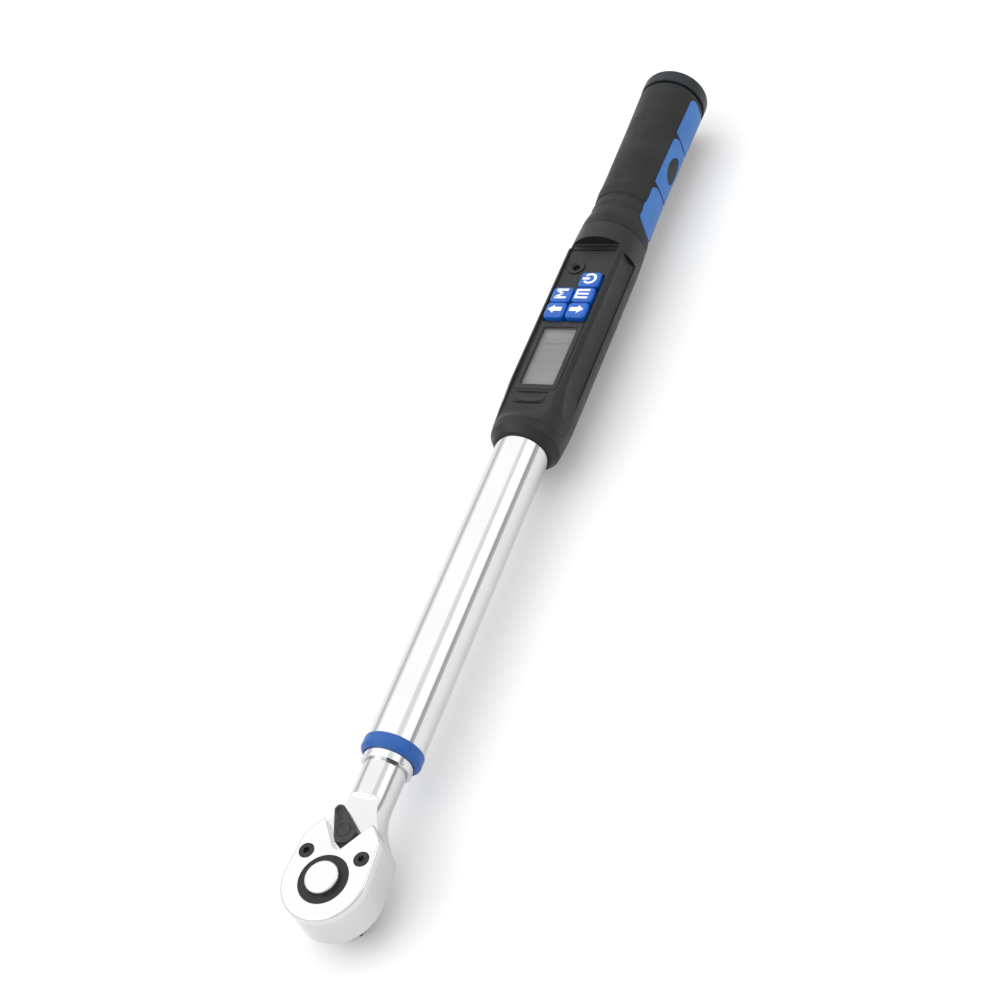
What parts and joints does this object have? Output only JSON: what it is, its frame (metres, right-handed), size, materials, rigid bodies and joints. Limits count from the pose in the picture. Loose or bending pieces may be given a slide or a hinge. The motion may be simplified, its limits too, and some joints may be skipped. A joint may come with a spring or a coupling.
{
  "type": "torque wrench",
  "caption": "Electronic torque wrench: ratchet head with square drive and quick release, chrome tube, display and keys on a housing, soft grip and screw-off battery cap.",
  "frame": {"origin": "centre of the square drive's end face", "axes": "+X from the drive along the wrench to the battery cap, +Z from the drive's end face up through the head to the face with the release button and the display, +Y to the left of the display seen from above with the cap up"},
  "size_m": [0.5532, 0.042, 0.0469],
  "materials": {
    "polished_chrome": "mirror-polished chrome plate",
    "black_steel": "black oxide, satin",
    "lever_alloy": "dark grey cast metal, satin",
    "spring_steel": "bare spring steel",
    "hardened_steel": "ground tool steel",
    "ring_blue": "blue anodised, satin",
    "gauge_foil": "amber film with foil gauge",
    "bush_polymer": "natural nylon",
    "cable_jacket": "grey cable jacket",
    "housing_black": "satin black moulding",
    "bezel_black": "glossy black moulding",
    "lcd_clear": "clear window",
    "lcd_grey": "grey-green liquid crystal panel",
    "soft_seal": "black silicone",
    "key_blue": "glossy blue keys with pale marks",
    "board_green": "green solder mask",
    "component_black": "moulded components",
    "lead_red": "insulated leads",
    "grip_black": "matt black soft grip",
    "grip_blue": "matt blue soft grip",
    "contact_brass": "plated brass contacts",
    "battery_wrap": "printed cell sleeve",
    "cap_grey": "dark blue-grey satin moulding"
  },
  "bodies": {
    "root": {"badge_plate": "bezel_black", "batteries": "battery_wrap", "battery_connector": "component_black", "battery_leads": "lead_red", "battery_sleeve": "bush_polymer", "beam_pin": "hardened_steel", "blue_ring": "ring_blue", "board_chips": "component_black", "buzzer": "component_black", "buzzer_ring": "soft_seal", "cap_o_ring": "soft_seal", "circuit_board": "board_green", "collar_key": "black_steel", "contact_insulator": "bush_polymer", "cover_screws": "black_steel", "dome_switches": "spring_steel", "front_contact": "contact_brass", "front_seal": "soft_seal", "grip_insert_left": "grip_blue", "grip_insert_right": "grip_blue", "grip_sleeve": "grip_black", "handle_core": "hardened_steel", "head_cover_plate": "polished_chrome", "housing_screws": "spring_steel", "keypad_mat": "soft_seal", "lcd_connectors": "soft_seal", "lcd_frame": "bezel_black", "lcd_panel": "lcd_grey", "lcd_window": "lcd_clear", "lower_housing": "housing_black", "pawl_cover": "polished_chrome", "pawl_pin": "hardened_steel", "ratchet_head": "polished_chrome", "sensor_cable": "cable_jacket", "strain_beam": "hardened_steel", "strain_gauges": "gauge_foil", "top_cover": "housing_black", "tube": "polished_chrome", "tube_end_collar": "polished_chrome", "tube_rear_bush": "bush_polymer"},
    "drive": {"drive_gear": "black_steel", "lower_retaining_ring": "black_steel", "button_spring": "spring_steel"},
    "release_button": {"quick_release_button": "polished_chrome", "release_pin": "spring_steel"},
    "socket_ball": {"retaining_ball": "black_steel"},
    "lever": {"reversing_lever": "lever_alloy", "lever_circlip": "spring_steel", "pawl_plunger": "spring_steel", "plunger_spring": "spring_steel"},
    "pawl_body": {"pawl": "hardened_steel"},
    "cap_carrier": {"cap_contact_disc": "contact_brass", "contact_spring": "spring_steel"},
    "cap": {"battery_cap": "cap_grey"},
    "power_key": {"key_power": "key_blue"},
    "menu_key": {"key_menu": "key_blue"},
    "unit_key": {"key_unit": "key_blue"},
    "down_key": {"key_down": "key_blue"},
    "up_key": {"key_up": "key_blue"}
  },
  "joints": [
    {"name": "drive_turn", "type": "hinge", "parent": "root", "child": "drive", "pos_m": [0, 0, 0.027], "axis": [0, 0, 1], "continuous": true},
    {"name": "button_press", "type": "slide", "parent": "drive", "child": "release_button", "axis": [0, 0, -1], "range_m": [0, 0.0025], "stiffness_N_per_m": 800, "springref_m": -0.001, "deforming": ["button_spring"]},
    {"name": "ball_retract", "type": "slide", "parent": "drive", "child": "socket_ball", "axis": [-1, 0, 0], "range_m": [0, 0.0009]},
    {"name": "lever_swing", "type": "hinge", "parent": "root", "child": "lever", "pos_m": [0.0246, 0, 0.0363], "axis": [0, 0, 1], "range_deg": [-69.2, 0]},
    {"name": "pawl_rock", "type": "hinge", "parent": "root", "child": "pawl_body", "pos_m": [0.0165, 0, 0.027], "axis": [0, 0, 1], "range_deg": [0, 11]},
    {"name": "power_press", "type": "slide", "parent": "root", "child": "power_key", "axis": [0, 0, -1], "range_m": [0, 0.0008], "stiffness_N_per_m": 1500, "springref_m": -0.0005},
    {"name": "menu_press", "type": "slide", "parent": "root", "child": "menu_key", "axis": [0, 0, -1], "range_m": [0, 0.0008], "stiffness_N_per_m": 1500, "springref_m": -0.0005},
    {"name": "unit_press", "type": "slide", "parent": "root", "child": "unit_key", "axis": [0, 0, -1], "range_m": [0, 0.0008], "stiffness_N_per_m": 1500, "springref_m": -0.0005},
    {"name": "down_press", "type": "slide", "parent": "root", "child": "down_key", "axis": [0, 0, -1], "range_m": [0, 0.0008], "stiffness_N_per_m": 1500, "springref_m": -0.0005},
    {"name": "up_press", "type": "slide", "parent": "root", "child": "up_key", "axis": [0, 0, -1], "range_m": [0, 0.0008], "stiffness_N_per_m": 1500, "springref_m": -0.0005},
    {"name": "cap_travel", "type": "slide", "parent": "root", "child": "cap_carrier", "axis": [1, 0, 0], "range_m": [0, 0.0076]},
    {"name": "cap_turn", "type": "hinge", "parent": "cap_carrier", "child": "cap", "pos_m": [0.528, 0, 0.02705], "axis": [1, 0, 0], "range_deg": [0, 1080]}
  ],
  "couplings": [
    {"joint": "ball_retract", "follows": "button_press", "ratio": 0.36},
    {"joint": "pawl_rock", "follows": "lever_swing", "ratio": -0.15896},
    {"joint": "cap_travel", "follows": "cap_turn", "m_per_rad": 0.00039789}
  ]
}
